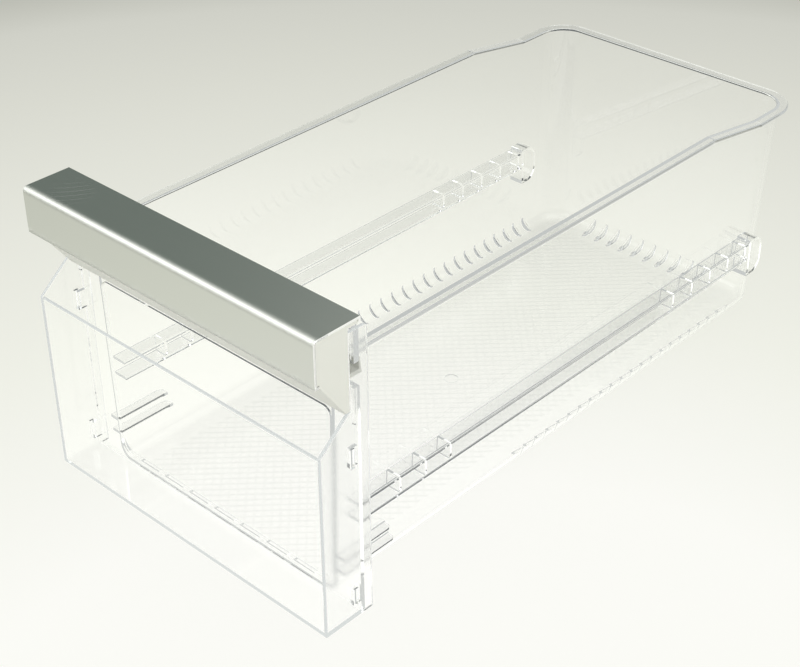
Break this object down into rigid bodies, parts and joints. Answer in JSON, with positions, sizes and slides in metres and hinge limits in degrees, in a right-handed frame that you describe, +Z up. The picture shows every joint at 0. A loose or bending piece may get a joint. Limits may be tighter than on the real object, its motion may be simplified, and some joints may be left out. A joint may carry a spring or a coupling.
{
  "type": "refrigerator drawer",
  "caption": "Clear plastic refrigerator drawer: a long tub with side runners and a rim lip, a clear front cover with a hand recess, and a metal-trimmed handle bar.",
  "frame": {"origin": "middle of the underside: halfway across, halfway between the handle's front face and the rear edge of the rim lip, at the height of the flat underside", "axes": "+X to the right as seen by the person pulling the drawer out, +Y from the front to the back of the drawer, +Z up"},
  "size_m": [0.22, 0.4434, 0.183],
  "materials": {
    "tub_plastic": "clear, glossy, see-through",
    "cover_plastic": "clear, glossy, see-through",
    "trim_metal": "satin, lightly brushed",
    "core_plastic": "silver-grey, fine satin"
  },
  "bodies": {
    "root": {"tub": "tub_plastic", "front_cover": "cover_plastic", "handle_trim": "trim_metal", "handle_core": "core_plastic"}
  },
  "joints": []
}
